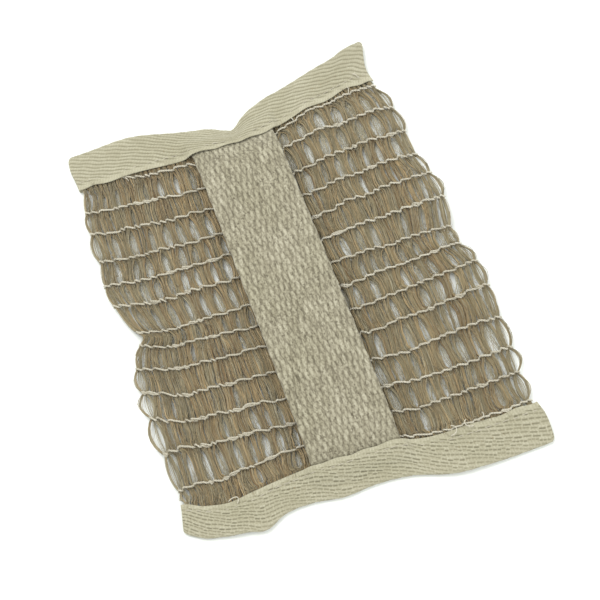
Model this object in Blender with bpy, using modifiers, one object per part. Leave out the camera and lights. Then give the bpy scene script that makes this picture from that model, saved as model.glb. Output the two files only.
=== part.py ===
"""Back scrubber: an open jute and cotton mesh pad with bound ends and a webbing hand strap.

Frame: origin under the middle of the pad, on the surface that it lies on. +X runs across
the pad, +Y runs along the jute yarns and the hand strap, +Z is up. All sizes are in metres.

The pad bends along two lines beside the palm, so every piece that crosses those lines is cut
there: the centre panel is the root, and the two wings turn about axes parallel to Y. One jute
yarn of the centre panel lies on each axis, where the cut pieces leave room for the turn.
"""

import math

import bmesh
import bpy

# --- driving dimensions ---------------------------------------------------------------
PAD_WIDTH = 0.158  # across the bound ends
PAD_LENGTH = 0.196  # along the yarns, over both bindings
BINDING_DEPTH = 0.0180  # what the folded tape covers at each end
TAPE_THICKNESS = 0.0011
YARN_DIAMETER = 0.0016
YARN_PITCH = 0.0027  # wanted spacing, rounded so that each panel is filled
THREAD_DIAMETER = 0.0007
ROW_COUNT = 14  # cotton pairs across the pad
FIRST_ROW_Y = 0.0765
GAP = 0.0003  # kept between pieces that touch

BEND_LINE_X = 0.042  # half the breadth of a palm
BEND_CLEARANCE = 0.0019  # from a bend line to the cut ends on either side of it

STRAP_WIDTH = 0.040
STRAP_THICKNESS = 0.0018
STRAP_SLOT_HEIGHT = 0.0046  # hand slot at rest, over the upper cotton threads
STRAP_ARCH_POWER = 6  # a high power gives a flat top with short ramps
STRAP_SEGMENTS = 28
TAIL_LENGTH = 0.0125  # what the binding holds of each strap end

SEAM_DIAMETER = 0.0005
SEAM_FROM_EDGE = 0.0045  # from the inner edge of the tape to its stitches
SEAM_GAP = 0.00045
SEAM_SETBACK = 0.0010  # from the tape's cut ends to the thread's

# --- sizes that follow ----------------------------------------------------------------
YARN_RADIUS = YARN_DIAMETER / 2
THREAD_RADIUS = THREAD_DIAMETER / 2
SEAM_RADIUS = SEAM_DIAMETER / 2
POCKET_HALF = YARN_RADIUS + GAP  # half the space between the two layers of the tape
MID_Z = TAPE_THICKNESS + POCKET_HALF  # height of the yarns' centres
PAD_END_Y = PAD_LENGTH / 2
TAPE_INNER_Y = PAD_END_Y - BINDING_DEPTH
PAIR_OFFSET = YARN_RADIUS + GAP + THREAD_RADIUS  # from a yarn's centre to a thread's
PAIR_TOP_Z = MID_Z + PAIR_OFFSET + THREAD_RADIUS
PANEL_END_X = BEND_LINE_X - BEND_CLEARANCE
WING_START_X = BEND_LINE_X + BEND_CLEARANCE
EDGE_YARN_X = PAD_WIDTH / 2 - PAIR_OFFSET - THREAD_RADIUS - GAP
YARN_TURN_Y = TAPE_INNER_Y + 0.6 * BINDING_DEPTH
STRAP_END_Y = TAPE_INNER_Y - GAP
TAIL_Z = MID_Z + YARN_RADIUS + GAP
STRAP_ARCH = PAIR_TOP_Z + STRAP_SLOT_HEIGHT - TAIL_Z
BULGE = STRAP_THICKNESS + GAP  # how far the tape rises over a strap end
BULGE_FLAT_X = STRAP_WIDTH / 2 + 0.0010
BULGE_END_X = STRAP_WIDTH / 2 + 0.0045

TURN_POINTS = 5  # points on each half circle where a yarn or thread turns back
FOLD_POINTS = 7  # points on the rounded fold of the tape

COLOURS = {
    "jute_yarn": (0.27, 0.21, 0.13, 1.0),
    "cotton_thread": (0.66, 0.60, 0.46, 1.0),
    "binding_tape": (0.58, 0.54, 0.40, 1.0),
    "strap_webbing": (0.47, 0.43, 0.31, 1.0),
    "seam_thread": (0.70, 0.65, 0.50, 1.0),
}
ROUGHNESS = 0.95


def clear_scene():
    """Removes every object, so that the file starts empty."""
    for item in list(bpy.data.objects):
        bpy.data.objects.remove(item, do_unlink=True)


def make_material(name):
    """A matte cloth material in the named colour."""
    material = bpy.data.materials.new(name)
    material.use_nodes = True
    shader = material.node_tree.nodes["Principled BSDF"]
    shader.inputs["Base Color"].default_value = COLOURS[name]
    shader.inputs["Roughness"].default_value = ROUGHNESS
    shader.inputs["Metallic"].default_value = 0.0
    return material


def add_object(name, data, material):
    """Puts mesh or curve data in the part's collection."""
    item = bpy.data.objects.new(name, data)
    data.materials.append(material)
    collection.objects.link(item)
    return item


def tube(name, points, radius, material, cyclic=False):
    """A round thread through the points, closed on itself or with flat ends."""
    curve = bpy.data.curves.new(name, "CURVE")
    curve.dimensions = "3D"
    curve.bevel_depth = radius
    curve.bevel_resolution = 1
    curve.use_fill_caps = not cyclic
    spline = curve.splines.new("POLY")
    spline.points.add(len(points) - 1)
    for spline_point, (x, y, z) in zip(spline.points, points):
        spline_point.co = (x, y, z, 1.0)
    spline.use_cyclic_u = cyclic
    return add_object(name, curve, material)


def spread(start, end, pitch):
    """Even positions from start to end, at about the wanted pitch."""
    steps = round(abs(end - start) / pitch)
    return [start + (end - start) * i / steps for i in range(steps + 1)]


def mirrored(positions):
    """The same positions on the other side of X = 0, in rising order."""
    return [-x for x in reversed(positions)]


def half_circle(centre, radius, first_angle, last_angle):
    """Points in a plane on an arc round the centre."""
    points = []
    for i in range(TURN_POINTS):
        angle = first_angle + (last_angle - first_angle) * i / (TURN_POINTS - 1)
        points.append((centre[0] + radius * math.cos(angle), centre[1] + radius * math.sin(angle)))
    return points


def smooth_step(value, low, high):
    """0 at low and beyond, 1 at high and beyond, smooth between."""
    share = min(1.0, max(0.0, (value - low) / (high - low)))
    return share * share * (3 - 2 * share)


def bulge_at(x):
    """How far the upper layer of the tape rises at x, over the strap end."""
    return BULGE * smooth_step(-abs(x), -BULGE_END_X, -BULGE_FLAT_X)


def make_yarn(name, columns):
    """The jute of one panel: one yarn that runs up and down the pad and turns in both bindings."""
    points = [(columns[0], -YARN_TURN_Y, MID_Z)]
    for i in range(len(columns) - 1):
        side = 1 if i % 2 == 0 else -1
        centre_x = (columns[i] + columns[i + 1]) / 2
        turn_radius = (columns[i + 1] - columns[i]) / 2
        turn = half_circle((centre_x, side * YARN_TURN_Y), turn_radius, side * math.pi, 0.0)
        points += [(x, y, MID_Z) for x, y in turn]
    last_side = 1 if len(columns) % 2 else -1
    points.append((columns[-1], last_side * YARN_TURN_Y, MID_Z))
    return tube(name, points, YARN_RADIUS, materials["jute_yarn"])


def make_pair(name, first_x, last_x, y):
    """A cotton pair over and under the yarns of one panel, joined round its outer yarns."""
    right = half_circle((last_x, MID_Z), PAIR_OFFSET, math.pi / 2, -math.pi / 2)
    left = half_circle((first_x, MID_Z), PAIR_OFFSET, -math.pi / 2, -3 * math.pi / 2)
    points = [(x, y, z) for x, z in right + left]
    return tube(name, points, THREAD_RADIUS, materials["cotton_thread"], cyclic=True)


def tape_profile():
    """The tape's middle surface round the yarn ends, from its lower inner edge to its upper one.

    Each point is (distance from the pad's middle along Y, height over the yarns' centres).
    """
    radius = POCKET_HALF + TAPE_THICKNESS / 2
    fold_y = PAD_END_Y - radius - TAPE_THICKNESS / 2
    points = [(TAPE_INNER_Y, -radius)]
    for i in range(FOLD_POINTS):
        angle = -math.pi / 2 + math.pi * i / (FOLD_POINTS - 1)
        points.append((fold_y + radius * math.cos(angle), radius * math.sin(angle)))
    points.append((TAPE_INNER_Y, radius))
    return points


def make_binding(name, stations, end):
    """One stretch of folded tape over the stations along X, at the far (1) or near (-1) end."""
    profile = tape_profile()
    upper_radius = POCKET_HALF + TAPE_THICKNESS / 2
    mesh = bpy.data.meshes.new(name)
    shell = bmesh.new()
    bmesh.ops.create_grid(shell, x_segments=len(stations) - 1, y_segments=len(profile) - 1, size=1.0)
    for vertex in shell.verts:
        column = round((vertex.co.x + 1) / 2 * (len(stations) - 1))
        row = round((vertex.co.y + 1) / 2 * (len(profile) - 1))
        x = stations[column]
        y, height = profile[row]
        if height > 0:
            height *= (upper_radius + bulge_at(x)) / upper_radius
        vertex.co = (x, end * y, MID_Z + height)
    bmesh.ops.recalc_face_normals(shell, faces=shell.faces)
    shell.to_mesh(mesh)
    shell.free()
    item = add_object(name, mesh, materials["binding_tape"])
    layer = item.modifiers.new("Tape thickness", "SOLIDIFY")
    layer.thickness = TAPE_THICKNESS
    layer.offset = 0.0
    return item


def make_seam(name, stations, end):
    """The sewing thread along one stretch of binding, just over the tape."""
    places = [stations[0] + SEAM_SETBACK, *stations[1:-1], stations[-1] - SEAM_SETBACK]
    y = end * (TAPE_INNER_Y + SEAM_FROM_EDGE)
    height = MID_Z + POCKET_HALF + TAPE_THICKNESS + SEAM_GAP + SEAM_RADIUS
    points = [(x, y, height + bulge_at(x)) for x in places]
    return tube(name, points, SEAM_RADIUS, materials["seam_thread"])


def strap_underside(y):
    """Height of the hand strap's lower face, level in the middle and down to the tails at its ends."""
    return TAIL_Z + STRAP_ARCH * (1 - abs(y / STRAP_END_Y) ** STRAP_ARCH_POWER)


def make_hand_strap():
    """The free stretch of webbing that the hand goes under."""
    mesh = bpy.data.meshes.new("hand_strap")
    solid = bmesh.new()
    bmesh.ops.create_cube(solid, size=1.0)
    lengthwise = [edge for edge in solid.edges if abs(edge.verts[0].co.y - edge.verts[1].co.y) > 0.5]
    bmesh.ops.subdivide_edges(solid, edges=lengthwise, cuts=STRAP_SEGMENTS - 1, use_grid_fill=True)
    for vertex in solid.verts:
        y = vertex.co.y * 2 * STRAP_END_Y
        layer_height = (vertex.co.z + 0.5) * STRAP_THICKNESS
        vertex.co = (vertex.co.x * STRAP_WIDTH, y, strap_underside(y) + layer_height)
    bmesh.ops.recalc_face_normals(solid, faces=solid.faces)
    solid.to_mesh(mesh)
    solid.free()
    return add_object("hand_strap", mesh, materials["strap_webbing"])


def make_strap_tail(name, end):
    """The strap end that is sewn under the upper layer of one binding."""
    mesh = bpy.data.meshes.new(name)
    solid = bmesh.new()
    bmesh.ops.create_cube(solid, size=1.0)
    bmesh.ops.scale(solid, vec=(STRAP_WIDTH, TAIL_LENGTH, STRAP_THICKNESS), verts=solid.verts)
    solid.to_mesh(mesh)
    solid.free()
    item = add_object(name, mesh, materials["strap_webbing"])
    tail_y = TAPE_INNER_Y + TAIL_LENGTH / 2
    item.location = (0.0, end * tail_y, TAIL_Z + STRAP_THICKNESS / 2)
    return item


def panels():
    """For each panel: its name, its yarns' X, its cotton pairs' first and last X, its tape's X."""
    wing_yarns = spread(WING_START_X + YARN_RADIUS, EDGE_YARN_X, YARN_PITCH)
    centre_yarns = spread(-BEND_LINE_X, BEND_LINE_X, YARN_PITCH)
    steps = [BULGE_FLAT_X, (BULGE_FLAT_X + BULGE_END_X) / 2, BULGE_END_X, PANEL_END_X]
    wing_tape = [WING_START_X, PAD_WIDTH / 2]
    return [
        ("left", mirrored(wing_yarns), (-wing_yarns[-1], -wing_yarns[0]), mirrored(wing_tape)),
        ("centre", centre_yarns, (centre_yarns[1], centre_yarns[-2]), mirrored(steps) + steps),
        ("right", wing_yarns, (wing_yarns[0], wing_yarns[-1]), wing_tape),
    ]


def build():
    """Makes every sub-part."""
    row_pitch = 2 * FIRST_ROW_Y / (ROW_COUNT - 1)
    for side, columns, pair_ends, stations in panels():
        make_yarn(f"jute_yarn_{side}", columns)
        for row in range(ROW_COUNT):
            y = FIRST_ROW_Y - row * row_pitch
            make_pair(f"cotton_pair_{row + 1:02d}_{side}", *pair_ends, y)
        for end_name, end in (("far", 1), ("near", -1)):
            make_binding(f"{end_name}_binding_{side}", stations, end)
            make_seam(f"{end_name}_seam_{side}", stations, end)
    make_hand_strap()
    make_strap_tail("far_strap_tail", 1)
    make_strap_tail("near_strap_tail", -1)


clear_scene()
collection = bpy.data.collections.new("back_scrubber")
bpy.context.scene.collection.children.link(collection)
materials = {name: make_material(name) for name in COLOURS}
build()
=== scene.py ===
"""The looks of the back scrubber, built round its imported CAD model: hairy jute yarns, twisted
cotton pairs, folded twill tape, woven strap webbing and stitches. All sizes are in metres.

Every soft piece is first laid out flat, with u across the pad, v along it and h over the
table, and lay() then gives it the uneven shape of a washed and once folded pad.
"""

import math

import bpy
import numpy as np
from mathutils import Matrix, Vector


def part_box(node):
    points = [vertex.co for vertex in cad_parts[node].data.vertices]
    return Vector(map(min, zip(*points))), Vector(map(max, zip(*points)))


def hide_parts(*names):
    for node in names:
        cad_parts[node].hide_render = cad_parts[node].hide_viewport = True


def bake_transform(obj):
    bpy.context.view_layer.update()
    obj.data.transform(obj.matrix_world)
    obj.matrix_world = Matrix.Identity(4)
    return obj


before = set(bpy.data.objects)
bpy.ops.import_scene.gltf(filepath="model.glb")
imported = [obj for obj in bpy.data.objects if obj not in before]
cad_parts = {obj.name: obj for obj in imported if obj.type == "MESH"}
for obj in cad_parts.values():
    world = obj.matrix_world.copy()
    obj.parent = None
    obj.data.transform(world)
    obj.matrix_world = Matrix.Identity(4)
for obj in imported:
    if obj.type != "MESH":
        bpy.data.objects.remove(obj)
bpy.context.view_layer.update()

# --- places read from the frame ---
ROW_COUNT = 14
PAD_HALF_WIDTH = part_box("far_binding_right")[1].x
PAD_END_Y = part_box("far_binding_right")[1].y
TAPE_INNER_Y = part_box("far_binding_right")[0].y
MID_Z = (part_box("jute_yarn_left")[0].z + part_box("jute_yarn_left")[1].z) / 2
STRAP_HALF_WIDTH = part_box("hand_strap")[1].x
STRAP_END_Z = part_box("hand_strap")[0].z
STRAP_TOP_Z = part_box("hand_strap")[1].z
ROW_Y = [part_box(f"cotton_pair_{row + 1:02d}_centre")[0].y for row in range(ROW_COUNT)]
ROW_PITCH = (ROW_Y[0] - ROW_Y[-1]) / (ROW_COUNT - 1)
CENTRE, LEFT, RIGHT, STRAP = "centre_panel", "left_wing", "right_wing", "strap"
SIDES = (("left", LEFT, -1), ("right", RIGHT, 1))

# --- driving dimensions of the looks ---
YARN_COUNT = 66
YARN_EDGE_U = 0.0768  # the outermost yarns where the rows hold them
YARN_HALF_WIDTH = 0.00105  # of the oval that a yarn's strands fill
YARN_HALF_HEIGHT = 0.00045
EDGE_YARN_HALF_WIDTH = 0.00042
STRAND_RADIUS = 0.00028
STRANDS_PER_YARN = 9
CORE_RADIUS = 0.00040  # one in the middle of each yarn
CORE_DROP = 0.0003  # how far the core lies under the middle of its yarn
YARN_TAIL = 0.009  # how far the yarns reach into the bindings
TOP_FIBRES = 4  # fine fibres over each yarn
LOW_FIBRES = 8  # under each yarn
EDGE_FIBRES = 3  # under each of the two outermost yarns of a side
FIBRE_RADIUS = 0.00011
PLY_RADIUS = 0.00025
PLY_TWIST = 0.0020
PAIR_LIFT = 0.00125  # a cotton thread's centre over or under the yarns' middle
PAIR_POINTS = 290  # along each ply of half a row
PAIR_SWAY = 0.00018  # how far its two threads stand apart along the pad where they cross
PAIR_STEP = 0.00044  # how far a row slants down between crossings, to step up again at the next
CROSSING_LIFT = 0.00050  # how much higher its threads lie where they cross
SLIP_ASIDE = 0.0008  # how far to the near side of its row a slipped thread lies
ROW_OVERHANG = 0.0011  # how far the rows reach past the outermost yarns
END_ROW_SHIFT = 0.0016  # how much closer to the bindings the end rows run beside the strap
TUCK_REACH = 0.0045  # how far an end row goes in under the tape where it is tucked in
TAPE_BASE_Z = 0.0006  # the outer faces of the flat folded tape
TAPE_TOP_Z = 0.0035
TAPE_THICKNESS = 0.0006
TAPE_OVER_STRAP = 0.0026  # how much higher it stands over the strap
TAPE_RELIEF = 0.00034  # from its grooves to its ribs
RIB_PITCH = 0.00185
STRAP_THICKNESS = 0.0017
STRAP_TAIL = 0.0065  # how far the strap's ends reach in between the tapes
STRAP_RELIEF = 0.00024
WARP_PITCH = 0.00124  # across the strap, from one warp end to the next
WARP_REPEAT = 0.0092  # over two picks and under two
CORNER_RADIUS = 0.0022
SEAM_SHARE = 0.20  # where the seams run, as a share of the bindings' depth from their inner edges
STITCH_PITCH = 0.0040
TINY = 1e-12  # keeps a length of nothing from being divided by


def curve_through(t, points):
    """A smooth curve through (position, value) points, level past both ends."""
    knots = np.array([p[0] for p in points], float)
    values = np.array([p[1] for p in points], float)
    slopes = np.gradient(values, knots)
    t = np.clip(np.asarray(t, float), knots[0], knots[-1])
    i = np.clip(np.searchsorted(knots, t) - 1, 0, len(knots) - 2)
    step = knots[i + 1] - knots[i]
    s = (t - knots[i]) / step
    rise = values[i + 1] - values[i]
    first = slopes[i] * step
    last = slopes[i + 1] * step
    return values[i] + s * (first + s * (3 * rise - 2 * first - last + s * (first + last - 2 * rise)))


def bump(t, centre, width):
    """A bell of height 1 at the centre, about 2 widths across."""
    return np.exp(-(((t - centre) / width) ** 2))


def wander(rng, count, places, spacing):
    """Smooth random curves from -1 to 1, one row each, that change over about the spacing."""
    low = float(np.min(places))
    knots = int((float(np.max(places)) - low) / spacing) + 3
    values = rng.uniform(-1, 1, (count, knots))
    position = (np.asarray(places) - low) / spacing
    i = np.clip(position.astype(int), 0, knots - 2)
    share = position - i
    share = share * share * (3 - 2 * share)
    return values[:, i] * (1 - share) + values[:, i + 1] * share


# --- the pad's uneven shape ---
LEFT_EDGE = [  # (v, distance of the pad's side from its middle line)
    (-0.098, 0.0795), (-0.080, 0.0770), (-0.035, 0.0785), (-0.012, 0.0758), (0.002, 0.0695), (0.010, 0.0742),
    (0.018, 0.0778), (0.045, 0.0770), (0.062, 0.0765), (0.076, 0.0742), (0.085, 0.0746), (0.092, 0.0752),
    (0.098, 0.0746)]
RIGHT_EDGE = [
    (-0.098, 0.0825), (-0.086, 0.0828), (-0.078, 0.0810), (-0.050, 0.0835), (-0.014, 0.0845), (0.000, 0.0795),
    (0.018, 0.0838), (0.045, 0.0797), (0.058, 0.0795), (0.070, 0.0780), (0.085, 0.0732), (0.098, 0.0772)]
FAR_INNER = [  # (u, distance of a binding's inner edge from the middle of the pad)
    (-0.078, 0.0814), (-0.050, 0.0804), (-0.020, 0.0796), (0.020, 0.0800), (0.031, 0.0829), (0.039, 0.0858),
    (0.050, 0.0866), (0.060, 0.0886), (0.070, 0.0893), (0.078, 0.0885)]
NEAR_INNER = [
    (-0.078, 0.0752), (-0.060, 0.0812), (-0.048, 0.0800), (-0.020, 0.0790), (0.000, 0.0800), (0.020, 0.0808),
    (0.032, 0.0837), (0.050, 0.0848), (0.078, 0.0851)]
FAR_DEPTH = [  # (u, depth of a binding from its inner to its outer edge)
    (-0.079, 0.0174), (-0.068, 0.0178), (-0.045, 0.0182), (-0.016, 0.0135), (-0.008, 0.0122),
    (-0.0005, 0.0092), (0.0018, 0.0084), (0.0045, 0.0098), (0.008, 0.0126), (0.021, 0.0168),
    (0.031, 0.0160), (0.039, 0.0148), (0.050, 0.0166), (0.060, 0.0172), (0.068, 0.0198), (0.079, 0.0228)]
NEAR_DEPTH = [
    (-0.079, 0.0112), (-0.072, 0.0130), (-0.064, 0.0125), (-0.055, 0.0136), (-0.047, 0.0165),
    (-0.037, 0.0135), (-0.025, 0.0133), (-0.012, 0.0150), (0.003, 0.0139), (0.016, 0.0148),
    (0.028, 0.0158), (0.041, 0.0173), (0.054, 0.0176), (0.079, 0.0176)]
ROW_DRIFTS = (  # u of a line along the pad, and (v, how far a row is shifted along it from even spacing)
    (-0.078, [(-0.0766, -0.0020), (-0.0648, -0.0090), (-0.053, -0.0030), (-0.041, 0.0033), (-0.0295, 0.0036),
              (-0.006, 0.0018), (0.006, -0.0043), (0.0175, -0.0004), (0.041, -0.0003), (0.053, 0.0030),
              (0.065, 0.0024)]),
    (-0.066, [(-0.0766, -0.0019), (-0.065, -0.0040), (-0.053, 0.0010), (-0.041, 0.0016), (-0.0295, 0.0020),
              (-0.006, 0.0006), (0.006, -0.0045), (0.0175, -0.0009), (0.041, -0.0009), (0.053, 0.0020),
              (0.065, 0.0016)]),
    (-0.022, [(-0.0766, -0.0015), (-0.065, -0.0049), (-0.053, -0.0055), (-0.0295, -0.0042), (-0.018, -0.0030),
              (0.006, -0.0054), (0.0175, -0.0029), (0.0295, -0.0023), (0.041, -0.0031), (0.053, -0.0017),
              (0.065, -0.0016)]),
    (0.022, [(-0.0766, -0.0008), (-0.065, -0.0017), (-0.053, -0.0017), (-0.041, -0.0007), (-0.0295, 0.0009),
             (-0.018, 0.0009), (-0.006, 0.0015), (0.006, 0.0020), (0.0175, 0.0025), (0.0295, 0.0022),
             (0.041, 0.0025), (0.053, 0.0030), (0.065, 0.0050)]),
    (0.078, [(-0.0766, -0.0008), (-0.065, -0.0012), (-0.053, -0.0023), (-0.041, 0.0003), (-0.0295, 0.0034),
             (-0.018, 0.0035), (-0.006, 0.0004), (0.006, -0.0036), (0.0175, -0.0005), (0.0295, 0.0005),
             (0.041, -0.0010), (0.053, -0.0009), (0.065, 0)]),
)
FAR_WAVES = ((-0.046, 0.017, 0.0020), (0.050, 0.022, 0.0030))  # u, width and height of a binding's waves
NEAR_WAVES = ((-0.052, 0.012, 0.0008), (0.042, 0.014, 0.0008))
CREASE_V = 0.002  # where the pad was once folded across
CREASE_WIDTH = 0.0045
CREASE_HEIGHT = 0.0011
UNEVENNESS = 0.0006  # how far the mesh lifts off the table, towards its sides


def row_drift(u, v):
    """How far a place at u, v is shifted along the pad, blended between the lines of drift."""
    lines = [line for line, shifts in ROW_DRIFTS]
    place = np.interp(u, lines, np.arange(len(lines)))
    shift = np.zeros_like(place)
    for number, (line, shifts) in enumerate(ROW_DRIFTS):
        curve = [(-0.080, 0), *shifts, (0.080, 0)]
        shift += np.clip(1 - np.abs(place - number), 0, 1) * curve_through(v, curve)
    return shift


def waves(u, places):
    """How far a binding's outer edge stands up at u."""
    return sum(height * bump(u, centre, width) for centre, width, height in places)


def lay(u, v, h):
    """The place in the row frame of flat points: u across, v along, h over the table."""
    u, v, h = np.broadcast_arrays(np.asarray(u, float), np.asarray(v, float), np.asarray(h, float))
    edge = np.where(u < 0, curve_through(v, LEFT_EDGE), curve_through(v, RIGHT_EDGE))
    out = np.clip(np.abs(u) / PAD_HALF_WIDTH, 0, 1.2)
    x = u * (1 + (edge / PAD_HALF_WIDTH - 1) * out**2)

    far, near = curve_through(u, FAR_INNER), curve_through(u, NEAR_INNER)
    share = np.clip((v + TAPE_INNER_Y) / (2 * TAPE_INNER_Y), 0, 1)
    beyond = np.clip(np.abs(v) - TAPE_INNER_Y, 0, None) / (PAD_END_Y - TAPE_INNER_Y)
    depth = np.where(v > 0, curve_through(u, FAR_DEPTH), curve_through(u, NEAR_DEPTH))
    y = far * share - near * (1 - share) + np.sign(v) * beyond * depth
    y = y + row_drift(u, v)
    inside = np.sin(np.pi * share)

    z = h + CREASE_HEIGHT * bump(v, CREASE_V, CREASE_WIDTH) * (0.3 + out**2)
    z = z + UNEVENNESS * inside * out * (1 + np.sin(u / 0.011 + v / 0.023)) * np.sin(v / 0.017 + 1.0) ** 2
    z = z + beyond * (v > 0) * waves(u, FAR_WAVES)
    z = z + beyond * (v < 0) * waves(u, NEAR_WAVES)
    return np.stack([x, y, z], -1)


# --- mesh helpers ---
def new_mesh_object(name, points, faces, material, **attributes):
    """A smooth mesh object with a number for each point in each named attribute."""
    mesh = bpy.data.meshes.new(name)
    mesh.from_pydata(points.tolist(), [], faces)
    for key, values in attributes.items():
        layer = mesh.attributes.new(key, "FLOAT", "POINT")
        layer.data.foreach_set("value", np.asarray(values, np.float32).ravel())
    mesh.shade_smooth()
    mesh.materials.append(material)
    item = bpy.data.objects.new(name, mesh)
    bpy.context.scene.collection.objects.link(item)
    return item


def tubes(name, lines, radius, sides, material, **attributes):
    """Closed tubes along lines, an array of (line, point, xyz), with numbers for each line or point."""
    count, length = lines.shape[:2]
    along = np.gradient(lines, axis=1)
    along /= np.linalg.norm(along, axis=2, keepdims=True) + TINY
    up = np.zeros_like(along)
    up[..., 2] = 1.0
    steep = np.abs(along[..., 2]) > 0.9
    up[steep] = (1.0, 0.0, 0.0)
    across = np.cross(along, up)
    across /= np.linalg.norm(across, axis=2, keepdims=True) + TINY
    up = np.cross(across, along)
    angle = np.arange(sides) * 2 * np.pi / sides
    ring = across[:, :, None, :] * np.cos(angle)[:, None] + up[:, :, None, :] * np.sin(angle)[:, None]
    radius = np.broadcast_to(np.asarray(radius, float), (count, length))
    points = lines[:, :, None, :] + ring * radius[:, :, None, None]
    index = np.arange(count * length * sides).reshape(count, length, sides)
    after = np.roll(index, -1, axis=2)
    walls = np.stack([index[:, :-1], after[:, :-1], after[:, 1:], index[:, 1:]], -1).reshape(-1, 4)
    starts = index[:, 0, ::-1]
    ends = index[:, -1, :]
    faces = walls.tolist() + starts.tolist() + ends.tolist()
    for key, values in attributes.items():
        values = np.broadcast_to(np.asarray(values, float).reshape(count, -1), (count, length))
        attributes[key] = np.repeat(values[:, :, None], sides, axis=2)
    return new_mesh_object(name, points.reshape(-1, 3), faces, material, **attributes)


def grid_faces(rows, columns):
    """The faces of a grid of points, rows by columns."""
    index = np.arange(rows * columns).reshape(rows, columns)
    corners = [index[:-1, :-1], index[:-1, 1:], index[1:, 1:], index[1:, :-1]]
    return np.stack(corners, -1).reshape(-1, 4).tolist()


def surface_normals(points):
    """Unit normals of a grid of points."""
    normal = np.cross(np.gradient(points, axis=1), np.gradient(points, axis=0))
    return normal / (np.linalg.norm(normal, axis=2, keepdims=True) + TINY)


# --- materials ---
WHITE = (1.0, 1.0, 1.0)


def grey(value):
    """A colour without a hue."""
    return (value, value, value)


class Nodes:
    """Short calls for building one material's node tree."""

    def __init__(self, name, roughness, sheen):
        self.material = bpy.data.materials.new(name)
        self.material.use_nodes = True
        self.tree = self.material.node_tree
        self.shader = self.tree.nodes["Principled BSDF"]
        self.shader.inputs["Roughness"].default_value = roughness
        self.shader.inputs["Specular IOR Level"].default_value = 0.25
        self.shader.inputs["Sheen Weight"].default_value = sheen
        self.shader.inputs["Sheen Roughness"].default_value = 0.6

    def add(self, kind, **settings):
        """A new node with the given settings."""
        node = self.tree.nodes.new(kind)
        for key, value in settings.items():
            setattr(node, key, value)
        return node

    def link(self, output, target):
        """Joins an output socket to an input socket."""
        self.tree.links.new(output, target)

    def number(self, name):
        """A number that the mesh holds for each point."""
        return self.add("ShaderNodeAttribute", attribute_name=name).outputs["Fac"]

    def ramp(self, factor, stops):
        """A colour ramp with (place, (r, g, b)) stops."""
        node = self.add("ShaderNodeValToRGB")
        while len(node.color_ramp.elements) < len(stops):
            node.color_ramp.elements.new(0.5)
        for element, (place, colour) in zip(node.color_ramp.elements, stops):
            element.position = place
            element.color = (*colour, 1.0)
        self.link(factor, node.inputs["Fac"])
        return node.outputs["Color"]

    def noise(self, scale, squeeze=(1, 1, 1), detail=2.0):
        """Noise in the row frame, with features of about 1/scale metres, divided by the squeeze."""
        place = self.add("ShaderNodeTexCoord").outputs["Object"]
        mapping = self.add("ShaderNodeMapping")
        mapping.inputs["Scale"].default_value = squeeze
        self.link(place, mapping.inputs["Vector"])
        node = self.add("ShaderNodeTexNoise")
        node.inputs["Scale"].default_value = scale
        node.inputs["Detail"].default_value = detail
        self.link(mapping.outputs["Vector"], node.inputs["Vector"])
        return node.outputs["Fac"]

    def mix(self, share, first, second, blend="MIX"):
        """Two colours mixed; share is a socket or a number."""
        node = self.add("ShaderNodeMix", data_type="RGBA", blend_type=blend)
        if isinstance(share, (int, float)):
            node.inputs[0].default_value = share
        else:
            self.link(share, node.inputs[0])
        self.link(first, node.inputs[6])
        self.link(second, node.inputs[7])
        return node.outputs[2]

    def bump_from(self, height, distance, strength):
        """Fine bumps on the surface, from a height socket."""
        node = self.add("ShaderNodeBump")
        node.inputs["Distance"].default_value = distance
        node.inputs["Strength"].default_value = strength
        self.link(height, node.inputs["Height"])
        self.link(node.outputs["Normal"], self.shader.inputs["Normal"])

    def colour(self, socket):
        """Gives the shader its colour, and returns the finished material."""
        self.link(socket, self.shader.inputs["Base Color"])
        return self.material


def jute_material():
    """Bast fibre: each strand has its own shade, from orange brown through olive to grey straw."""
    nodes = Nodes("jute_fibre", roughness=0.75, sheen=0.15)
    by_hue = nodes.ramp(nodes.number("hue"), [
        (0.0, (0.250, 0.170, 0.082)), (0.20, (0.320, 0.236, 0.120)), (0.38, (0.530, 0.400, 0.212)),
        (0.52, (0.290, 0.243, 0.138)), (0.72, (0.335, 0.288, 0.176)), (0.9, (0.460, 0.418, 0.285)),
        (1.0, (0.600, 0.590, 0.480))])
    # tone carries each strand's own lightness, and also the painted shade beside the cotton rows
    by_tone = nodes.ramp(nodes.number("tone"), [(0.0, grey(0.42)), (0.5, grey(0.87)), (1.0, WHITE)])
    streaks = nodes.ramp(nodes.noise(90, (22, 1, 22), 3.0), [(0.30, (0.76, 0.75, 0.70)), (0.68, WHITE)])
    nodes.bump_from(nodes.noise(120, (25, 1.5, 25), 3.0), 0.0002, 0.25)
    return nodes.colour(nodes.mix(1.0, nodes.mix(1.0, by_hue, by_tone, "MULTIPLY"), streaks, "MULTIPLY"))


def cotton_material():
    """Off-white spun cotton with small shade changes and fine fuzz."""
    nodes = Nodes("cotton_ply", roughness=0.85, sheen=0.25)
    by_ply = nodes.ramp(nodes.number("tone"), [
        (0.0, (0.42, 0.388, 0.295)), (0.6, (0.54, 0.508, 0.400)), (1.0, (0.64, 0.612, 0.500))])
    fuzz = nodes.ramp(nodes.noise(1500, detail=3.0), [(0.3, (0.80, 0.79, 0.76)), (0.7, WHITE)])
    nodes.bump_from(nodes.noise(2500, detail=2.0), 0.0001, 0.5)
    return nodes.colour(nodes.mix(1.0, by_ply, fuzz, "MULTIPLY"))


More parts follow.
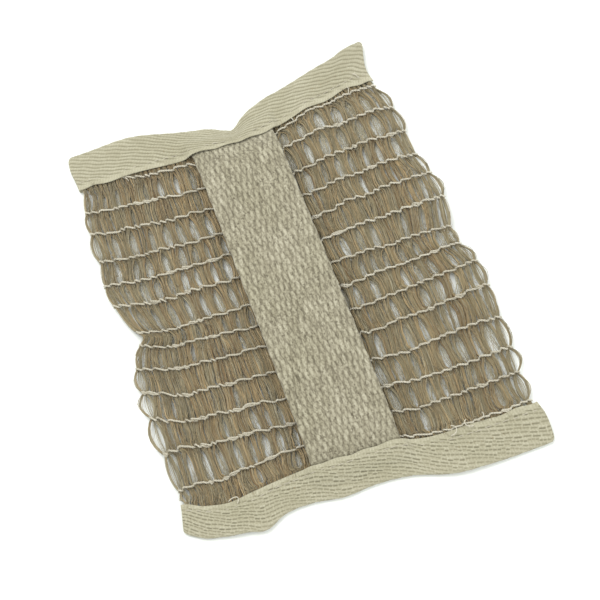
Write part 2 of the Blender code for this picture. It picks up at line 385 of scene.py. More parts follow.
def cloth_material(name, shaded_valley, middle, ridge):
    """Woven cloth whose colour follows the height of its weave, with painted shade in its grooves."""
    nodes = Nodes(name, roughness=0.9, sheen=0.2)
    colour_and_groove_shade = nodes.ramp(nodes.number("relief"), [(0.0, shaded_valley), (0.45, middle), (1.0, ridge)])
    yarn_shade = nodes.ramp(nodes.number("tone"), [(0.0, (0.84, 0.83, 0.80)), (1.0, WHITE)])
    fibre = nodes.ramp(nodes.noise(1800, detail=3.0), [(0.3, (0.84, 0.83, 0.81)), (0.7, WHITE)])
    wear = nodes.ramp(nodes.noise(55, detail=2.0), [(0.35, (0.92, 0.92, 0.89)), (0.65, WHITE)])
    nodes.bump_from(nodes.noise(2600, detail=2.0), 0.0001, 0.6)
    woven = nodes.mix(1.0, nodes.mix(1.0, colour_and_groove_shade, yarn_shade, "MULTIPLY"), fibre, "MULTIPLY")
    return nodes.colour(nodes.mix(1.0, woven, wear, "MULTIPLY"))


JUTE = jute_material()
COTTON = cotton_material()
# the tape's grooves are darkened as painted shade
TAPE = cloth_material("tape_twill", (0.175, 0.160, 0.100), (0.325, 0.308, 0.212), (0.505, 0.485, 0.360))
# the strap's low places show its darker picks between the floats, and are darkened further as painted shade
WEBBING = cloth_material(
    "strap_weave", (0.108, 0.094, 0.060), (0.290, 0.268, 0.190), (0.525, 0.502, 0.376))


# --- jute yarns ---
# For each cell, the gap between two rows, with the far one first: how far the outermost yarn bows out
# in millimetres, and the chance of an open place, which is over 1 where they are wider as well.
LEFT_BOW = (0.8, 1.4, 2.4, 0.6, 0.5, 0.3, 0.4, 0.4, 2.4, 3.4, 3.6, 2.0, 1.4)
RIGHT_BOW = (2.2, 2.0, 0.5, 1.6, 1.8, 0.9, 1.9, 1.8, 1.6, 1.0, 2.0, 3.1, 2.7)
LEFT_OPEN = (0.35, 0.10, 1.30, 1.00, 1.20, 1.10, 0.45, 0.40, 0.35, 0.25, 0.50, 0.95, 0.45)
RIGHT_OPEN = (2.00, 2.20, 0.85, 0.20, 0.20, 0.80, 0.65, 0.65, 0.80, 0.85, 0.90, 0.80, 0.35)
OPEN_FROM_U, OPEN_TO_U = -0.0715, 0.0720  # no open place lies further out
OPEN_WIDTHS = (0.0024, 0.0042)
OPEN_SPACINGS = (0.0054, 0.0084)
OPEN_FADE = 0.0030  # how far to the side an open place still pushes the yarns
GROUP_SIZES = [1, 2, 2, 2, 2, 3]  # yarns between two crossings of a cotton pair, drawn at random
EDGE_YARN_GAP = 0.0009  # between the two outermost yarns of a side
THIRD_YARN_SHIFT = 0.0008  # how much closer to them the third one runs
STRAY_SWAY = 0.00060  # how far every fifth strand strays
STRAND_SWAY = 0.00016  # and how far the others do
FUZZ_COUNT = 1700  # on each side of the pad
FUZZ_POINTS = 6
FUZZ_RADIUS = 0.000085


def yarn_groups():
    """The first yarn of each group that the cotton pairs hold together, and one past the last."""
    rng = np.random.default_rng(100)
    starts = [0, 1]
    while starts[-1] < YARN_COUNT - 1:
        starts.append(min(starts[-1] + int(rng.choice(GROUP_SIZES)), YARN_COUNT - 1))
    return np.array(starts + [YARN_COUNT])


FLAT_U = np.linspace(-YARN_EDGE_U, YARN_EDGE_U, YARN_COUNT)
GROUP_STARTS = yarn_groups()


def row_crossings(row):
    """The places across the pad where the two threads of a row cross, between groups of yarns."""
    rng = np.random.default_rng(100 + row)
    places = -YARN_EDGE_U + (GROUP_STARTS - 0.5) * (FLAT_U[1] - FLAT_U[0])
    places[1:-1] += rng.uniform(-0.0005, 0.0005, len(places) - 2)
    return places


def places_along():
    """Places along the pad where a yarn has a point, closer together beside the rows."""
    shares = (0, 0.05, 0.12, 0.25, 0.4, 0.55, 0.7, 0.85, 0.94)
    v = [ROW_Y[0] - (row + share) * ROW_PITCH for row in range(ROW_COUNT - 1) for share in shares]
    tail = np.linspace(ROW_Y[0] + 0.0015, TAPE_INNER_Y + YARN_TAIL, 7)
    return np.array(list(tail[::-1]) + v + [ROW_Y[-1]] + list(-tail))


def cell_and_share(v):
    """Which cell between two rows a place is in, and how far through it, from 0 to 1."""
    at_row = np.clip((ROW_Y[0] - v) / ROW_PITCH, 0, ROW_COUNT - 1 - 1e-6)
    cell = at_row.astype(int)
    return cell, at_row - cell


def cell_fields(seed, spacing):
    """A smooth random curve across the yarns for each cell, as (yarn, cell)."""
    return wander(np.random.default_rng(seed), ROW_COUNT, FLAT_U, spacing).T


def cell_openings():
    """The open places in each cell, as lists of (u, width)."""
    rng = np.random.default_rng(17)
    openings = []
    for cell in range(ROW_COUNT - 1):
        u = OPEN_FROM_U + rng.uniform(0, 0.005)
        found = []
        while u < OPEN_TO_U:
            chance = (LEFT_OPEN if u < 0 else RIGHT_OPEN)[cell]
            if rng.uniform() < chance:
                found.append((u, rng.uniform(*OPEN_WIDTHS) * (0.6 + 0.4 * chance)))
            u += rng.uniform(*OPEN_SPACINGS) * max(1, 0.70 + 0.30 * chance)
        openings.append(found)
    return openings


OPENINGS = cell_openings()


def parted(u, cell, share):
    """Places u along one strand, pushed aside by the open places of the cells it runs through.

    An open place widens slowly from its far row and closes quickly at its near one.
    """
    lens = np.clip((share - 0.04) / 0.36, 0, 1) ** 0.8 * np.clip((1 - share) / 0.12, 0, 1)
    moved = u.copy()
    for number, found in enumerate(OPENINGS):
        here = cell == number
        for middle, width in found:
            side = math.copysign(1, np.mean(u[here]) - middle)
            aside = np.clip(side * (moved[here] - middle), 0, None)
            target = middle + side * (aside + width / 2 * np.exp(-aside / OPEN_FADE))
            moved[here] += (target - moved[here]) * lens[here]
    return moved


def yarn_paths(v):
    """u and h of every yarn's middle at the places v along the pad, two arrays of (yarn, place)."""
    rng = np.random.default_rng(11)
    cell, share = cell_and_share(v)
    between = np.sin(np.pi * share) ** 0.8
    bundled = 0.0009 * cell_fields(12, 0.0060) + 0.0005 * cell_fields(13, 0.012)
    u = FLAT_U[:, None] + bundled[:, cell] * between
    slant = 0.02 + 0.15 * cell_fields(14, 0.010)
    jog = np.clip(share / 0.08, 0, 1) * np.clip((1 - share) / 0.08, 0, 1)
    u = u + slant[:, cell] * (0.5 - share) * jog * ROW_PITCH
    u = u + 0.00020 * wander(rng, YARN_COUNT, v, 0.006)
    left_bow = np.append(np.array(LEFT_BOW), 0)[cell] / 1000
    right_bow = np.append(np.array(RIGHT_BOW), 0)[cell] / 1000
    u[0] = FLAT_U[0] - left_bow * between
    u[-1] = FLAT_U[-1] + right_bow * between
    u[1] = FLAT_U[0] + EDGE_YARN_GAP + (0.0002 + 0.45 * left_bow) * between
    u[-2] = FLAT_U[-1] - EDGE_YARN_GAP - (0.0004 + 0.20 * right_bow) * between
    u[2] -= THIRD_YARN_SHIFT
    u[-3] += THIRD_YARN_SHIFT
    h = MID_Z + 0.00025 * wander(rng, YARN_COUNT, v, 0.007) * between
    return u, h


def yarns_of(sign):
    """The numbers of the yarns on one side of the pad."""
    half = YARN_COUNT // 2
    return range(half) if sign < 0 else range(half, YARN_COUNT)


def in_two_parts(name, side, lines, radii, **attributes):
    """Jute tubes of one side as two pieces, its outer and its inner half, so that neither is too heavy."""
    half = len(lines) // 2
    parts = ("outer", "inner") if side == "left" else ("inner", "outer")
    made = []
    for part, chosen in zip(parts, (slice(None, half), slice(half, None))):
        own = {key: np.array(values[chosen]) for key, values in attributes.items()}
        own_lines, own_radii = np.array(lines[chosen]), np.array(radii[chosen])
        made.append(tubes(f"{name}_{side}_{part}", own_lines, own_radii, 3, JUTE, **own))
    return made


def add_yarns(side, sign):
    """The strands of the yarns on one side of the pad, and the fine fibres that stray from them."""
    v = places_along()
    middle_u, middle_h = yarn_paths(v)
    cell, share = cell_and_share(v)
    between = np.sin(np.pi * share)
    # painted shade: the jute is darkened just under each cotton row, and a little just above the next one,
    # where the rows shade it
    shade = 0.34 * bump(share, 0.06, 0.10) + 0.14 * bump(share, 0.97, 0.05)
    rng = np.random.default_rng(21 + sign)
    strands, strand_tones, strand_hues, strand_radii = [], [], [], []
    fibres, fibre_tones, fibre_hues = [], [], []
    for yarn in yarns_of(sign):
        from_edge = min(yarn, YARN_COUNT - 1 - yarn)
        outer = from_edge < 2
        width = YARN_HALF_WIDTH * rng.uniform(0.90, 1.25)
        height = YARN_HALF_HEIGHT * rng.uniform(0.85, 1.15)
        turn = rng.uniform(0, 2 * np.pi) + rng.choice([-1, 1]) * v / rng.uniform(0.020, 0.040)
        yarn_tone, yarn_hue = rng.uniform(0.42, 0.78), rng.uniform(0.14, 0.72)
        if outer:
            width, yarn_tone, yarn_hue = EDGE_YARN_HALF_WIDTH * (1 + 0.8 * from_edge), 0.70, 0.80
        for strand in range(STRANDS_PER_YARN + 1):
            core = strand == STRANDS_PER_YARN
            angle = turn + 2.4 * strand + 0.35 * wander(rng, 1, v, 0.011)[0]
            reach = math.sqrt((strand + 0.6) / STRANDS_PER_YARN) * (1 + 0.15 * wander(rng, 1, v, 0.009)[0])
            reach = reach * (0.25 if core else 1)
            stray_reach = STRAY_SWAY if strand % 5 == 0 and not outer else STRAND_SWAY
            stray = stray_reach * wander(rng, 1, v, 0.007)[0]
            u = middle_u[yarn] + width * reach * np.cos(angle) + stray * between
            if not outer:
                u = parted(u, cell, share)
            h = middle_h[yarn] + height * reach * np.sin(angle)
            strands.append(lay(u, v, h - (CORE_DROP if core else 0)))
            # painted shade under the rows lowers each strand's tone
            tone = yarn_tone + rng.normal(0, 0.09) + 0.10 * wander(rng, 1, v, 0.010)[0] - shade
            strand_tones.append(np.clip(tone, 0, 1))
            hue = yarn_hue + rng.normal(0, 0.12) + 0.12 * wander(rng, 1, v, 0.020)[0]
            strand_hues.append(np.clip(hue, 0, 0.9))
            if core:
                radius = 0.45 * CORE_RADIUS if outer else CORE_RADIUS
            else:
                radius = STRAND_RADIUS * rng.uniform(0.75, 1.25)
            strand_radii.append(radius * (1 + 0.15 * wander(rng, 1, v, 0.005)[0]))
        sway = np.concatenate([wander(rng, TOP_FIBRES, v, 0.008), wander(rng, LOW_FIBRES, v, 0.017)])
        lift = wander(rng, TOP_FIBRES + LOW_FIBRES, v, 0.009)
        for fibre in range(TOP_FIBRES + (EDGE_FIBRES if outer else LOW_FIBRES)):
            low = fibre >= TOP_FIBRES
            spread = 0.0030 if low and not outer else 0.0012
            # the fibres under the two outermost yarns of a side, 0 and 1 or 64 and 65, run between them
            beside = yarn ^ 1 if outer and low else yarn
            u = (middle_u[yarn] + middle_u[beside]) / 2 + spread * sway[fibre] * (0.45 + 0.55 * between)
            if not (low or outer):
                u = parted(u, cell, share)
            rise = YARN_HALF_HEIGHT + STRAND_RADIUS * (0.55 + 0.6 * lift[fibre])
            h = middle_h[yarn] + (-rise if low else rise)
            fibres.append(lay(u, v, h))
            # the fibres get the same painted shade under the rows
            fibre_tones.append(np.clip(rng.uniform(0.6, 1.0) - shade, 0, 1))
            fibre_hues.append(np.full(len(v), rng.uniform(0.80, 0.92) if low else rng.uniform(0.3, 0.85)))
    fibre_radii = np.full((len(fibres), 1), FIBRE_RADIUS)
    made = in_two_parts("jute_yarns", side, strands, strand_radii, tone=strand_tones, hue=strand_hues)
    return made + in_two_parts("jute_fibres", side, fibres, fibre_radii, tone=fibre_tones, hue=fibre_hues)


def add_fuzz(side, sign):
    """Short hairs that stand off the jute, more of them along the pad's outer edge."""
    rng = np.random.default_rng(31 + sign)
    count = FUZZ_COUNT
    v0 = rng.uniform(-TAPE_INNER_Y, TAPE_INNER_Y, count)
    by_row = rng.uniform(0, 1, count) < 0.5
    nearest = np.array(ROW_Y)[np.argmin(np.abs(v0[:, None] - np.array(ROW_Y)), axis=1)]
    v0 = np.where(by_row, nearest - 0.0008 + rng.normal(0, 0.0010, count), v0)
    spread = rng.uniform(0, 1, count) ** 0.8
    u0 = sign * YARN_EDGE_U * np.where(by_row, 0.97 * spread, spread)
    length = rng.uniform(0.002, 0.0060, count)
    along = rng.choice([-1, 1], count) * np.pi / 2
    heading = along + rng.normal(0, 0.35, count) * np.where(by_row, 3.0, 1)
    turn = rng.normal(0, 0.9, count) * np.where(by_row, 2.0, 1)
    rise = rng.uniform(0.0003, 0.0012, count)
    share = np.linspace(0, 1, FUZZ_POINTS)
    angle = heading[:, None] + turn[:, None] * share
    step = length[:, None] / (FUZZ_POINTS - 1)
    u = u0[:, None] + np.cumsum(np.cos(angle), axis=1) * step
    v = v0[:, None] + np.cumsum(np.sin(angle), axis=1) * step
    h = MID_Z + 0.0006 + rise[:, None] * np.sin(np.pi * (0.15 + 0.75 * share))
    radius = FUZZ_RADIUS * (1 - 0.5 * share)[None, :] * np.ones((count, 1))
    # the hairs by the rows are darker: partly dark tangles, partly painted shade under the rows
    tone = np.where(by_row, rng.uniform(0, 0.6, count), rng.uniform(0.3, 1.0, count))[:, None]
    hue = rng.uniform(0, 0.95, (count, 1))
    return [tubes(f"jute_fuzz_{side}", lay(u, v, h), radius, 3, JUTE, tone=tone, hue=hue)]


# --- cotton pairs ---
TUCKED_FROM = {0: -0.052, ROW_COUNT - 1: -STRAP_HALF_WIDTH}  # end rows go under the tape left of these u
LOOSE_ROWS_FROM = 7  # from this row on, more of the left half's threads have slipped
LOOSE_ENDS = (  # loose cotton ends and curls: u, v, heading in degrees, length, and turn in degrees
    (0.0305, 0.0800, -88, 0.0038, 10), (0.0637, 0.0800, -110, 0.0034, -15), (0.0700, 0.0850, -52, 0.0032, 10),
    (0.0420, -0.0775, -25, 0.0075, -170), (0.0490, -0.0770, 200, 0.0070, 190),
    (0.0530, -0.0785, -40, 0.0060, 150), (-0.0585, -0.0790, 55, 0.0085, -200),
    (-0.0540, 0.0790, -70, 0.0022, 20))


def tucked(row, u):
    """How far a row is drawn in under the tape, from 0 to 1: only the end rows, towards the left."""
    if row not in TUCKED_FROM:
        return np.zeros_like(u)
    return 1 / (1 + np.exp((u - TUCKED_FROM[row]) / 0.0030))


def row_place(row, u):
    """Where a row runs: the first and last rows hug the bindings outside the strap."""
    outside = np.clip((np.abs(u) - STRAP_HALF_WIDTH) / 0.004, 0, 1)
    end = 1 if row == 0 else (-1 if row == ROW_COUNT - 1 else 0)
    return ROW_Y[row] + end * (END_ROW_SHIFT * outside + TUCK_REACH * tucked(row, u))


def pair_lines(row):
    """The four plies of a row's two threads, from edge to edge: (u, v, h) for each ply."""
    rng = np.random.default_rng(300 + row)
    crossings = row_crossings(row)
    reach = YARN_EDGE_U + ROW_OVERHANG
    u = np.linspace(-reach, reach, 2 * PAIR_POINTS)
    turn = np.interp(u, crossings, np.arange(len(crossings)))
    slip_chance = np.where((u < 0) & (row >= LOOSE_ROWS_FROM), 0.30, 0.10)
    slipped = rng.uniform(0, 1, len(crossings) + 1)[turn.astype(int)] < slip_chance
    phase = np.pi * turn
    over = np.sin(phase)
    apart = over**2
    over = 1.25 * over / (np.abs(over) + 0.25)
    base_v = row_place(row, u) + 0.0005 * wander(rng, 1, u, 0.009)[0] + 0.0003 * wander(rng, 1, u, 0.004)[0]
    sway = PAIR_SWAY * (1.1 + 0.7 * wander(rng, 1, u, 0.012)[0])
    step = PAIR_STEP * (1 + 0.6 * wander(rng, 1, u, 0.010)[0])
    stair = step * (np.sin(2 * phase) + 0.35 * np.sin(4 * phase)) / 2
    flat = 1 - 0.6 * tucked(row, u)
    lines = []
    for thread in (1, -1):
        level = thread * over
        beneath = slipped & (level < 0)
        v = base_v + stair + thread * sway * np.cos(phase) - SLIP_ASIDE * apart * beneath
        h = MID_Z + PAIR_LIFT * np.where(beneath, 0.75 * np.abs(level), level)
        h = MID_Z + (h + CROSSING_LIFT * np.exp(-((over / 0.6) ** 2)) - MID_Z) * flat
        twist = 2 * np.pi * u / PLY_TWIST * rng.uniform(0.9, 1.1) + rng.uniform(0, 2 * np.pi)
        for ply in (0, np.pi):
            lines.append((u, v + PLY_RADIUS * np.cos(twist + ply), h + PLY_RADIUS * np.sin(twist + ply)))
    return u, lines


def loose_end(u0, v0, heading, length, turn):
    """The two plies of one loose cotton end that curls over the bindings' inner edges."""
    share = np.linspace(0, 1, PAIR_POINTS)
    angle = np.radians(heading + turn * share)
    u = u0 + np.cumsum(np.cos(angle)) * length / len(share)
    v = v0 + np.cumsum(np.sin(angle)) * length / len(share)
    h = MID_Z + 0.0019 + 0.0010 * np.sin(np.pi * share)
    twist = 2 * np.pi * share * length / PLY_TWIST
    radius = 0.6 * PLY_RADIUS
    return [(u, v + radius * np.cos(twist + ply), h + radius * np.sin(twist + ply)) for ply in (0, np.pi)]


def add_pairs(side, sign):
    """The cotton pairs on one side of the pad, with the loose ends."""
    rng = np.random.default_rng(41 + sign)
    made, tones, radii = [], [], []
    for row in range(ROW_COUNT):
        all_u, lines = pair_lines(row)
        keep = all_u * sign >= 0
        for u, v, h in lines:
            made.append(lay(u[keep], v[keep], h[keep]))
            tones.append(rng.uniform(0.3, 1.0))
            radii.append(PLY_RADIUS * 1.05)
    for end in LOOSE_ENDS:
        if end[0] * sign > 0:
            for u, v, h in loose_end(*end):
                made.append(lay(u, v, h))
                tones.append(0.9)
                radii.append(PLY_RADIUS * 0.7)
    radii = np.array(radii)[:, None]
    return [tubes(f"cotton_pairs_{side}", np.array(made), radii, 5, COTTON, tone=np.array(tones)[:, None])]


# --- folded tape ---
TAPES = (  # the name, end, lean of the ribs, dash length, how broken the grooves are, and disorder
    ("far", 1, 0.32, 0.0062, 0.35, 0.17),
    ("near", -1, -0.30, 0.0027, 1.0, 0.22),
)
DASH_SHADES = 997  # random shades to pick from: a prime number, so that the picks don't fall in step
TICK_PITCH = 0.00135  # of the fine threads across the ribs
FLAT_FOLD = 0.00065  # half of how much lower the upper layer lies at the fold than at its inner edge


def twill(u, s, total, lean, dash_length, breaks, disorder, seed):
    """Height from 0 to 1 of twill tape at u along it and s across it, and a shade for each dash."""
    shades = np.random.default_rng(seed).uniform(0, 1, DASH_SHADES)
    wobble = disorder * np.sin(u / 0.0083 + 1.7 * np.sin(s / 0.005))
    wobble = wobble + 0.5 * disorder * np.sin(u / 0.0021 + s / 0.0017)
    rib = (s * math.cos(lean) - u * math.sin(lean)) / RIB_PITCH + wobble
    along_rib = u * math.cos(lean) + s * math.sin(lean)
    number = np.floor(rib).astype(int)
    length = dash_length * (0.55 + 0.9 * shades[(number * 13) % DASH_SHADES])
    along = along_rib / length + 2.0 * shades[(number * 31) % DASH_SHADES]
    shade = shades[(number * 31 + np.floor(along).astype(int) * 7) % DASH_SHADES]
    off_groove = rib - number - 0.5 + 0.35 * breaks * (shade - 0.5)
    groove = np.exp(-((off_groove / (0.17 + 0.05 * shade)) ** 2))
    dash = (0.55 + 0.45 * shade) * np.clip(2.2 * np.abs(np.sin(np.pi * along)), 0, 1) ** 0.8
    dash = 1 - breaks * (1 - dash)
    tick = 0.5 + 0.5 * np.cos(2 * np.pi * along_rib / TICK_PITCH + 2.1 * number)
    inner = np.minimum(s, total - s)
    woven = np.clip((inner - 0.0016) / 0.0012, 0, 1)
    woven = woven * (0.60 + 0.40 * np.clip((total / 2 - inner) / 0.005, 0, 1))
    cut = (0.70 + 0.35 * breaks) * groove * dash + 0.22 * tick * (1 - groove)
    relief = 1 - woven * cut - 0.20 * (1 - woven) * tick
    return np.clip(relief, 0, 1), shade


def tape_section(upper_steps, lower_steps):
    """The tape round the yarn ends: shares of its depth, and heights, from under the pad to over it."""
    under = np.stack([np.linspace(0, 1, lower_steps), np.full(lower_steps, TAPE_BASE_Z)], 1)
    angle = np.linspace(-np.pi / 2, np.pi / 2, 9)[1:-1]
    radius = (TAPE_TOP_Z - TAPE_BASE_Z) / 2 - FLAT_FOLD
    fold = np.stack([1 + 0.06 * np.cos(angle), TAPE_BASE_Z + radius + radius * np.sin(angle)], 1)
    out = np.linspace(1, 0, upper_steps)
    over = np.stack([out, TAPE_TOP_Z - 2 * FLAT_FOLD * out**1.5], 1)
    return np.concatenate([under, fold, over])


def rise_over_strap(u, share):
    """How far the upper tape stands up over the strap's sewn end, at a share of the tape's depth."""
    beside = 1 / (1 + np.exp((np.abs(u) - STRAP_HALF_WIDTH - 0.0022) / 0.0008))
    fall = np.clip((share - 0.40) / 0.40, 0, 1)
    return TAPE_OVER_STRAP * beside * (1 - 0.8 * fall * fall * (3 - 2 * fall))


def add_binding(name, end, sign, lean, dash_length, breaks, disorder):
    """Half of one binding: tape folded over the yarn ends, with its weave as real relief."""
    straight = np.linspace(0, PAD_HALF_WIDTH - CORNER_RADIUS, 310)
    rounded = PAD_HALF_WIDTH - CORNER_RADIUS * (1 - np.sin(np.linspace(0, np.pi / 2, 21)[1:]))
    u = np.concatenate([straight, rounded]) * sign
    section = tape_section(76, 36)
    deep = PAD_END_Y - TAPE_INNER_Y
    from_end = np.clip(1 - (PAD_HALF_WIDTH - np.abs(u)) / CORNER_RADIUS, 0, 1)
    corner = CORNER_RADIUS * (1 - np.sqrt(1 - from_end**2)) / deep
    steps = np.hypot(np.diff(section[:, 0]) * deep, np.diff(section[:, 1]))
    across_tape = np.concatenate([[0], np.cumsum(steps)])
    share, height = section[:, 0][:, None], section[:, 1][:, None]
    u_grid = np.broadcast_to(u, (len(section), len(u)))
    upper = np.clip((height - MID_Z) / 0.0012, 0, 1)
    stitch = 0.5 + 0.5 * np.cos(2 * np.pi * u_grid / STITCH_PITCH)
    dent = 0.00010 * bump(share, SEAM_SHARE, 0.030) * (0.2 + 0.8 * stitch)
    ripple = 0.00025 * np.sin(u_grid / 0.0052 + 2.0 * np.sin(u_grid / 0.019)) * (1 - share)
    h = height + upper * (rise_over_strap(u_grid, share) - dent + ripple)
    v = end * (TAPE_INNER_Y + (share - corner * share**4) * deep)
    edge_wave = 0.0004 * np.sin(u_grid / 0.0031 + 3 * np.sin(u_grid / 0.013)) * (1 - share) ** 4
    points = lay(u_grid, v - end * edge_wave, h)
    normal = surface_normals(points)
    middle = np.argmax(share[:, 0])
    outward = np.sign(np.sum(normal[middle, :, 1]) * end)
    s_grid = across_tape[:, None] + 0 * u_grid
    relief, shade = twill(u_grid, s_grid, across_tape[-1], lean, dash_length, breaks, disorder, 51 + end)
    depth = TAPE_RELIEF * np.clip((PAD_HALF_WIDTH - np.abs(u_grid)) / 0.0015, 0, 1)
    points = points + normal * outward * ((relief - 0.8) * depth)[..., None]
    faces = grid_faces(len(section), len(u))
    if outward < 0:
        faces = [face[::-1] for face in faces]
    # relief also darkens the tape's grooves in its material, as painted shade
    item = new_mesh_object(name, points.reshape(-1, 3), faces, TAPE, relief=relief, tone=shade)
    layer = item.modifiers.new("Tape thickness", "SOLIDIFY")
    layer.thickness = TAPE_THICKNESS
    layer.offset = -1.0
    return item


# --- hand strap ---
def strap_underside(y):
    """Height of the strap's lower face, as on the CAD strap, and lower again inside the bindings."""
    arch = STRAP_TOP_Z - STRAP_THICKNESS - STRAP_END_Z
    inside = np.clip(np.abs(y) / TAPE_INNER_Y - 1, 0, None)
    return STRAP_END_Z + arch * (1 - np.clip(np.abs(y) / TAPE_INNER_Y, 0, 1) ** 6) - 0.010 * inside


def speckle(u, v, seed, size):
    """Smooth random numbers from -1 to 1 over the strap, with spots of about the size."""
    values = np.random.default_rng(seed).uniform(-1, 1, (256, 512))
    place_u, place_v = u / size + 128, v / (1.5 * size) + 256
    i, j = np.floor(place_u).astype(int), np.floor(place_v).astype(int)
    share_u, share_v = place_u - i, place_v - j
    share_u, share_v = share_u**2 * (3 - 2 * share_u), share_v**2 * (3 - 2 * share_v)
    low = values[i, j] * (1 - share_u) + values[i + 1, j] * share_u
    high = values[i, j + 1] * (1 - share_u) + values[i + 1, j + 1] * share_u
    return low * (1 - share_v) + high * share_v


WARP_SHADES = 1009


def strap_weave(u, v):
    """Height from 0 to 1 of the strap's warp ends, over two picks and under two, and a shade for each."""
    shades = np.random.default_rng(61).uniform(0, 1, WARP_SHADES)
    drift = 0.25 * np.sin(v / 0.013 + 1.1 * np.sin(u / 0.011)) + 0.10 * np.sin(v / 0.0037 + u / 0.0049)
    place = (u + STRAP_HALF_WIDTH) / WARP_PITCH + drift
    relief = np.full_like(place, 0.20)
    shade = np.full_like(place, 0.5)
    for beside in (-1, 0, 1):
        number = np.floor(place).astype(int) + beside
        turn = v / WARP_REPEAT + 0.5 * (number % 2) + 0.10 * np.sin(number / 2.3)
        turn = turn + 0.08 * shades[(number * 17) % WARP_SHADES]
        key = (number * 37 + np.floor(turn).astype(int) * 11) % WARP_SHADES
        start = 0.10 * shades[(key * 5) % WARP_SHADES] - 0.05
        through = (turn - np.floor(turn) - start) / (0.62 + 0.14 * shades[(key * 3) % WARP_SHADES])
        rise = np.sin(np.pi * np.clip(through, 0, 1)) ** 0.5
        slant = 0.30 * (1 - 2 * (number % 2)) * (through - 0.5) * (rise > 0)
        centre = number + 0.5 + slant + 0.20 * (shades[(key * 7) % WARP_SHADES] - 0.5)
        half = 0.42 + (0.26 + 0.16 * shades[key]) * rise
        across = np.sqrt(np.clip(1 - np.abs((place - centre) / half) ** 2.6, 0, 1))
        height = across * (0.46 + (0.34 + 0.10 * shades[key]) * rise)
        higher = height > relief
        relief = np.where(higher, height, relief)
        shade = np.where(higher, shades[key], shade)
    flecks = np.clip(1.3 * speckle(u, v, 62, 0.00056) - 0.12, 0, 1)
    flecks = flecks + np.clip(speckle(u, v, 63, 0.00039), 0, 1)
    relief = relief * (1 - 0.52 * flecks) + 0.09 * speckle(u, v, 64, 0.00039)
    return np.clip(relief, 0, 1), shade


def end_cap(ring, upper_steps):
    """Triangles that close a ribbon's end, from its upper points to the fewer ones under them."""
    upper = ring[:upper_steps].tolist()
    lower = ring[upper_steps:][::-1].tolist()
    under = np.round(np.linspace(0, len(lower) - 1, len(upper))).astype(int)
    triangles = []
    for number in range(len(upper) - 1):
        first, second = under[number], under[number + 1]
        triangles.append([upper[number], upper[number + 1], lower[first]])
        if second > first:
            triangles.append([upper[number + 1], lower[second], lower[first]])
    return triangles


def add_strap_half(name, end):
    """Half of the hand strap, from the middle to its sewn end, as one closed ribbon."""
    upper_steps, lower_steps, along = 230, 60, 330
    v = np.linspace(0, TAPE_INNER_Y + STRAP_TAIL, along) * end
    face = np.concatenate([np.linspace(-1, 1, upper_steps), np.linspace(1, -1, lower_steps)])
    over = np.arange(upper_steps + lower_steps) < upper_steps
    outer = np.sqrt(np.clip(1 - np.abs(face) ** 24, 0, 1)) * np.where(over, 1, -1)
    u_grid = np.broadcast_to(face * STRAP_HALF_WIDTH, (along, len(face)))
    v_grid = np.broadcast_to(v[:, None], u_grid.shape)
    relief, shade = strap_weave(u_grid, v_grid)
    sewn = np.clip(np.abs(v_grid) / TAPE_INNER_Y, 0, 1) ** 4
    sag = 0.00025 * np.sin(v_grid / 0.021 + 0.7) * np.sin(u_grid / 0.012) * (1 - sewn)
    thin = 1 - 0.25 * np.clip((np.abs(v_grid) - TAPE_INNER_Y) / STRAP_TAIL, 0, 1)
    thick = outer * (STRAP_THICKNESS / 2 * thin + (relief - 0.6) * STRAP_RELIEF)
    points = lay(u_grid, v_grid, 0.0)
    points[..., 2] = strap_underside(v_grid) + STRAP_THICKNESS / 2 + sag + thick
    at_edge = np.abs(u_grid) > 0.97 * STRAP_HALF_WIDTH
    points[..., 0] = u_grid * (1 + 0.006 * np.sin(v_grid / 0.0014) * at_edge)
    index = np.arange(along * len(face)).reshape(along, len(face))
    after = np.roll(index, -1, axis=1)
    walls = np.stack([index[:-1], after[:-1], after[1:], index[1:]], -1).reshape(-1, 4)
    ends = end_cap(index[0], upper_steps) + [cap[::-1] for cap in end_cap(index[-1], upper_steps)]
    if end > 0:
        walls = walls[:, ::-1]
    else:
        ends = [cap[::-1] for cap in ends]
    faces = walls.tolist() + ends
    # relief also darkens the strap's low places in its material, partly as painted shade
    return new_mesh_object(name, points.reshape(-1, 3), faces, WEBBING, relief=relief, tone=shade)


# --- seams ---
def add_stitches(name, end, sign):
    """The stitches on the upper side of half a binding."""
    rng = np.random.default_rng(71 + sign + 5 * end)
    deep = PAD_END_Y - TAPE_INNER_Y
    starts = np.arange(0.5 * STITCH_PITCH, PAD_HALF_WIDTH - STITCH_PITCH, STITCH_PITCH)
    t = np.linspace(0, 1, 9)
    u = sign * (starts[:, None] + STITCH_PITCH * (0.12 + 0.76 * t))
    v = end * (TAPE_INNER_Y + SEAM_SHARE * deep + rng.normal(0, 0.00012, (len(starts), 1)) + 0 * t)
    top = TAPE_TOP_Z - 2 * FLAT_FOLD * SEAM_SHARE**1.5 + rise_over_strap(u, SEAM_SHARE)
    h = top + 0.00004 * np.sin(np.pi * t) - 0.00045 * (1 - np.sin(np.pi * t))
    return tubes(name, lay(u, v, h), 0.00019, 6, COTTON, tone=rng.uniform(0.2, 0.6, (len(starts), 1)))


# --- assembly ---
def on_side(item, replaced):
    """Bakes a piece's placement into its mesh, and hides the CAD parts that it stands for."""
    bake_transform(item)
    if replaced:
        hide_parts(*replaced)


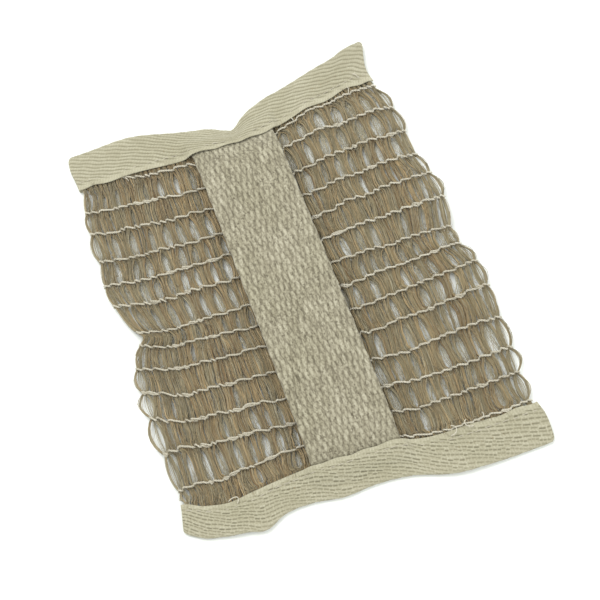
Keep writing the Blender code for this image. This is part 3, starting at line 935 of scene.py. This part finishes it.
def build_side(side, sign):
    """Everything on one side of the strap's middle line."""
    yarn_nodes = [f"jute_yarn_{side}", "jute_yarn_centre"]
    for item in add_yarns(side, sign):
        on_side(item, yarn_nodes)
    for item in add_fuzz(side, sign):
        on_side(item, [])
    parts = (side, "centre")
    pair_nodes = [f"cotton_pair_{row + 1:02d}_{part}" for row in range(ROW_COUNT) for part in parts]
    for item in add_pairs(side, sign):
        on_side(item, pair_nodes)
    for end_name, end, lean, dash_length, breaks, disorder in TAPES:
        tape = add_binding(f"{end_name}_binding_{side}_cloth", end, sign, lean, dash_length, breaks, disorder)
        tape_nodes = [f"{end_name}_binding_{side}", f"{end_name}_binding_centre"]
        on_side(tape, tape_nodes)
        stitches = add_stitches(f"{end_name}_stitches_{side}", end, sign)
        on_side(stitches, [f"{end_name}_seam_{side}", f"{end_name}_seam_centre"])


def build_strap():
    """The strap in two halves that meet in the middle."""
    for end_name, end in (("far", 1), ("near", -1)):
        half = add_strap_half(f"strap_webbing_{end_name}", end)
        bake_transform(half)
        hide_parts("hand_strap", f"{end_name}_strap_tail")


def add_area_light(name, place, target, size, power):
    """A soft square light that faces the target."""
    data = bpy.data.lights.new(name, "AREA")
    data.energy = power
    data.size = size
    item = bpy.data.objects.new(name, data)
    item.location = place
    item.rotation_euler = (Vector(target) - Vector(place)).to_track_quat("-Z", "Y").to_euler()
    bpy.context.scene.collection.objects.link(item)


def add_studio():
    """A plain pale floor, white surroundings and soft light."""
    bpy.ops.mesh.primitive_plane_add(size=6.0, location=(0, 0, 0))
    floor = bpy.context.object
    floor.name = "studio_floor"
    nodes = Nodes("studio_floor_paint", roughness=0.9, sheen=0.0)
    nodes.shader.inputs["Base Color"].default_value = (0.905, 0.935, 0.900, 1.0)
    floor.data.materials.append(nodes.material)
    world = bpy.data.worlds.new("studio")
    world.use_nodes = True
    world.node_tree.nodes["Background"].inputs["Color"].default_value = (1.0, 1.0, 1.0, 1.0)
    world.node_tree.nodes["Background"].inputs["Strength"].default_value = 0.98
    bpy.context.scene.world = world
    bpy.context.scene.view_settings.view_transform = "Standard"
    add_area_light("key", (-0.34, 0.46, 0.92), (0, 0, 0), 0.6, 6.6)
    add_area_light("fill", (0.7, -0.5, 0.8), (0, 0, 0), 0.8, 3.0)


def add_camera():
    """The camera at the pad's three-quarter view from above."""
    azimuth, elevation, distance = math.radians(-20.3), math.radians(67.5), 0.604
    target = Vector((0.0026, -0.0040, 0.0))
    back = Vector((
        math.sin(azimuth) * math.cos(elevation),
        -math.cos(azimuth) * math.cos(elevation),
        math.sin(elevation),
    ))
    data = bpy.data.cameras.new("camera")
    data.lens = 81.0
    data.sensor_width = 36.0
    camera = bpy.data.objects.new("camera", data)
    camera.location = target + back * distance
    camera.rotation_euler = (-back).to_track_quat("-Z", "Y").to_euler()
    bpy.context.scene.collection.objects.link(camera)
    bpy.context.scene.camera = camera


for side_name, body_name, side_sign in SIDES:
    build_side(side_name, side_sign)
build_strap()
add_studio()
add_camera()
